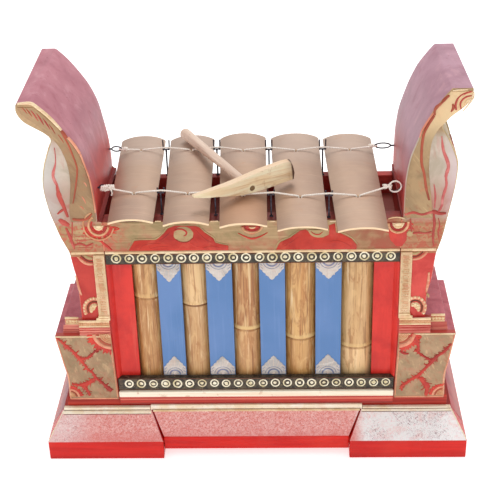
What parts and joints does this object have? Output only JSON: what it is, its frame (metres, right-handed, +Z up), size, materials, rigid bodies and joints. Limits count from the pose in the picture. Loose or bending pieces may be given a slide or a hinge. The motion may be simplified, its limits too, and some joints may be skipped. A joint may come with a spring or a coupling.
{
  "type": "gamelan metallophone",
  "caption": "Balinese metallophone: crowned bronze plates on two cords over bamboo resonators, in a carved and painted case with horned ends, and a loose wooden hammer",
  "frame": {"origin": "middle of the bounding box, at the height of the ground that the base stands on", "axes": "+Z up, +X along the case towards the largest plate, -Y towards the decorated front"},
  "size_m": [0.66, 0.3235, 0.6035],
  "materials": {
    "red_enamel": "glossy red enamel, brushed",
    "dark_red_enamel": "glossy dark red enamel",
    "gold_paint": "gold paint on shallow carving with red ground",
    "cream_gold": "pale gold line paint",
    "blue_paint": "satin blue paint with gold triangles",
    "ring_paint": "black ground with cream rings",
    "bamboo": "varnished bamboo",
    "bronze": "hand-filed bronze",
    "cord": "twisted cotton cord",
    "bamboo_pin": "bamboo sliver",
    "dark_wire": "blackened iron wire",
    "pale_wood": "bare pale wood, hand cut",
    "handle_wood": "oiled brown wood"
  },
  "bodies": {
    "case": {"base_board": "dark_red_enamel", "base_foot_left": "red_enamel", "base_foot_right": "red_enamel", "base_front_centre": "red_enamel", "base_rear": "red_enamel", "blue_board_1": "blue_paint", "blue_board_2": "blue_paint", "blue_board_3": "blue_paint", "blue_board_4": "blue_paint", "cord_front": "cord", "cord_rear": "cord", "end_block_left": "gold_paint", "end_block_right": "gold_paint", "end_board_left": "gold_paint", "end_board_right": "gold_paint", "front_rail": "gold_paint", "hook_front_left": "dark_wire", "hook_front_right": "dark_wire", "hook_rear_left": "dark_wire", "hook_rear_right": "dark_wire", "pilaster_left": "cream_gold", "pilaster_right": "cream_gold", "post_front_1": "dark_wire", "post_front_2": "dark_wire", "post_front_3": "dark_wire", "post_front_4": "dark_wire", "post_rear_1": "dark_wire", "post_rear_2": "dark_wire", "post_rear_3": "dark_wire", "post_rear_4": "dark_wire", "rear_panel": "red_enamel", "red_board_left": "red_enamel", "red_board_right": "red_enamel", "resonator_1": "bamboo", "resonator_2": "bamboo", "resonator_3": "bamboo", "resonator_4": "bamboo", "resonator_5": "bamboo", "resonator_rack": "dark_red_enamel", "ring_strip_lower": "ring_paint", "ring_strip_upper": "ring_paint", "sill_moulding": "cream_gold"},
    "key_1": {"key_1": "bronze", "toggle_1_front": "bamboo_pin", "toggle_1_rear": "bamboo_pin"},
    "key_2": {"key_2": "bronze", "toggle_2_front": "bamboo_pin", "toggle_2_rear": "bamboo_pin"},
    "key_3": {"key_3": "bronze", "toggle_3_front": "bamboo_pin", "toggle_3_rear": "bamboo_pin"},
    "key_4": {"key_4": "bronze", "toggle_4_front": "bamboo_pin", "toggle_4_rear": "bamboo_pin"},
    "key_5": {"key_5": "bronze", "toggle_5_front": "bamboo_pin", "toggle_5_rear": "bamboo_pin"},
    "mallet": {"mallet_head": "pale_wood", "mallet_handle": "handle_wood"}
  },
  "joints": [
    {"name": "key_1_sink", "type": "slide", "parent": "case", "child": "key_1", "axis": [0, 0, 1], "range_m": [-0.006, 0], "stiffness_N_per_m": 2000, "springref_m": 0.004, "deforming": ["cord_front", "cord_rear"]},
    {"name": "key_2_sink", "type": "slide", "parent": "case", "child": "key_2", "axis": [0, 0, 1], "range_m": [-0.006, 0], "stiffness_N_per_m": 2000, "springref_m": 0.004, "deforming": ["cord_front", "cord_rear"]},
    {"name": "key_3_sink", "type": "slide", "parent": "case", "child": "key_3", "axis": [0, 0, 1], "range_m": [-0.006, 0], "stiffness_N_per_m": 2000, "springref_m": 0.004, "deforming": ["cord_front", "cord_rear"]},
    {"name": "key_4_sink", "type": "slide", "parent": "case", "child": "key_4", "axis": [0, 0, 1], "range_m": [-0.006, 0], "stiffness_N_per_m": 2000, "springref_m": 0.004, "deforming": ["cord_front", "cord_rear"]},
    {"name": "key_5_sink", "type": "slide", "parent": "case", "child": "key_5", "axis": [0, 0, 1], "range_m": [-0.006, 0], "stiffness_N_per_m": 2000, "springref_m": 0.004, "deforming": ["cord_front", "cord_rear"]},
    {"name": "mallet_lift", "type": "slide", "parent": "case", "child": "mallet", "axis": [0, 0, 1], "range_m": [0, 0.25]}
  ]
}
